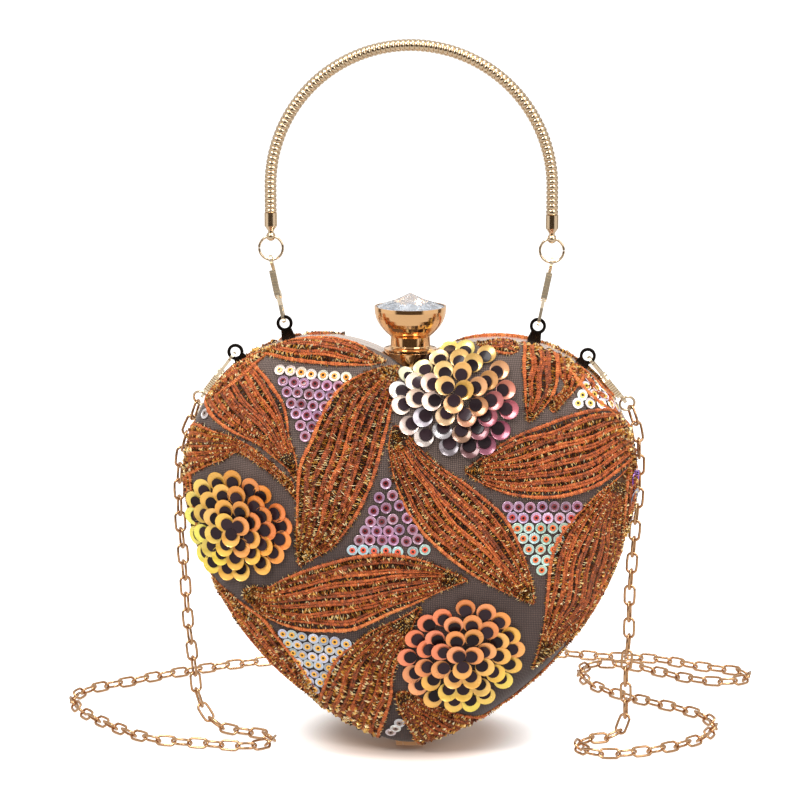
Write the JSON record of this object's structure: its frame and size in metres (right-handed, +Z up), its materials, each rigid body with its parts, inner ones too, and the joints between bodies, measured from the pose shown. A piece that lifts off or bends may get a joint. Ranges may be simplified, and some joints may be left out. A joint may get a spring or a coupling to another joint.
{
  "type": "shoulder bag",
  "caption": "Heart-shaped hard evening bag with domed embroidered halves, jewelled turn clasp, arched ribbed metal handle and a long link chain strap.",
  "frame": {"origin": "on the ground under the middle of the bag, at the bottom of the hinge knuckles, in the plane where the halves part", "axes": "+Z up, +X to the right as the front is seen, the embroidered front faces -Y"},
  "size_m": [0.2875, 0.1751, 0.2817],
  "materials": {
    "gold": "polished light gold plating on zinc alloy",
    "pale_gold": "polished pale gold plating",
    "chain": "polished light gold plating on steel wire",
    "steel": "dark mirror plating",
    "cover": "fine woven ground with raised sequin and cord embroidery",
    "shell": "moulded, hidden under the cover",
    "lining": "satin lining",
    "crystal": "clear cut glass"
  },
  "bodies": {
    "back_half": {"back_frame": "pale_gold", "back_shell": "shell", "back_cover": "cover", "back_lining": "lining", "hinge_back": "gold", "hinge_pin": "gold", "clasp_base": "gold", "clasp_rivets": "gold", "lug_handle_left": "steel", "lug_handle_right": "steel", "lug_strap_left": "steel", "lug_strap_right": "steel", "strap_hook_left": "gold", "strap_hook_left_rivet": "gold", "strap_ring_left": "gold", "strap_hook_right": "gold", "strap_hook_right_rivet": "gold", "strap_ring_right": "gold", "chain_fall_left": "chain", "chain_front_left": "chain", "chain_side_left": "chain", "chain_behind": "chain", "chain_side_right": "chain", "chain_front_right": "chain", "chain_fall_right": "chain"},
    "front_half": {"front_frame": "pale_gold", "front_shell": "shell", "front_cover": "cover", "front_lining": "lining", "hinge_front": "gold", "clasp_keeper": "gold"},
    "clasp": {"clasp_knob": "gold", "clasp_stone": "crystal", "clasp_tongue": "gold", "tongue_screw": "gold"},
    "hook_left": {"hook_left": "gold", "hook_left_rivet": "gold"},
    "hook_left_lever": {"hook_left_lever": "gold"},
    "hook_right": {"hook_right": "gold", "hook_right_rivet": "gold"},
    "hook_right_lever": {"hook_right_lever": "gold"},
    "ring_left": {"ring_left": "gold"},
    "ring_right": {"ring_right": "gold"},
    "handle": {"handle_tube": "gold", "handle_cap_left": "gold", "handle_cap_right": "gold"},
    "strap_hook_left_lever": {"strap_hook_left_lever": "gold"},
    "strap_hook_right_lever": {"strap_hook_right_lever": "gold"}
  },
  "joints": [
    {"name": "front_open", "type": "hinge", "parent": "back_half", "child": "front_half", "pos_m": [0, 0, 0.002], "axis": [1, 0, 0], "range_deg": [0, 45]},
    {"name": "knob_turn", "type": "hinge", "parent": "back_half", "child": "clasp", "pos_m": [0, 0, 0.16055], "axis": [0, 0, -1], "range_deg": [0, 90]},
    {"name": "hook_left_swing", "type": "hinge", "parent": "back_half", "child": "hook_left", "pos_m": [-0.05035, 0.0031, 0.1727], "axis": [1, 0, 0], "range_deg": [-75, 75]},
    {"name": "hook_right_swing", "type": "hinge", "parent": "back_half", "child": "hook_right", "pos_m": [0.05035, 0.0031, 0.1727], "axis": [1, 0, 0], "range_deg": [-75, 75]},
    {"name": "ring_left_swing", "type": "hinge", "parent": "hook_left", "child": "ring_left", "pos_m": [-0.055, 0.0031, 0.19522], "axis": [1, 0, 0], "range_deg": [-30, 30]},
    {"name": "ring_right_swing", "type": "hinge", "parent": "hook_right", "child": "ring_right", "pos_m": [0.055, 0.0031, 0.19522], "axis": [1, 0, 0], "range_deg": [-30, 30]},
    {"name": "handle_swing", "type": "hinge", "parent": "ring_left", "child": "handle", "pos_m": [-0.055, 0.0031, 0.20452], "axis": [1, 0, 0], "range_deg": [-20, 20]},
    {"name": "hook_left_press", "type": "hinge", "parent": "hook_left", "child": "hook_left_lever", "pos_m": [-0.05217, 0.0024, 0.18151], "axis": [-0.9794, 0, -0.2021], "range_deg": [0, 15], "stiffness_Nm_per_rad": 0.01, "springref_deg": -5.73},
    {"name": "hook_right_press", "type": "hinge", "parent": "hook_right", "child": "hook_right_lever", "pos_m": [0.05217, 0.0024, 0.18151], "axis": [-0.9794, 0, 0.2021], "range_deg": [0, 15], "stiffness_Nm_per_rad": 0.01, "springref_deg": -5.73},
    {"name": "strap_hook_left_press", "type": "hinge", "parent": "back_half", "child": "strap_hook_left_lever", "pos_m": [-0.07603, 0.00642, 0.14972], "axis": [0.7986, 0, -0.6018], "range_deg": [0, 15], "stiffness_Nm_per_rad": 0.01, "springref_deg": -5.73},
    {"name": "strap_hook_right_press", "type": "hinge", "parent": "back_half", "child": "strap_hook_right_lever", "pos_m": [0.07603, 0.00642, 0.14972], "axis": [0.7986, 0, 0.6018], "range_deg": [0, 15], "stiffness_Nm_per_rad": 0.01, "springref_deg": -5.73}
  ],
  "couplings": [
    {"joint": "hook_right_swing", "follows": "hook_left_swing", "ratio": 1},
    {"joint": "ring_right_swing", "follows": "ring_left_swing", "ratio": 1}
  ]
}
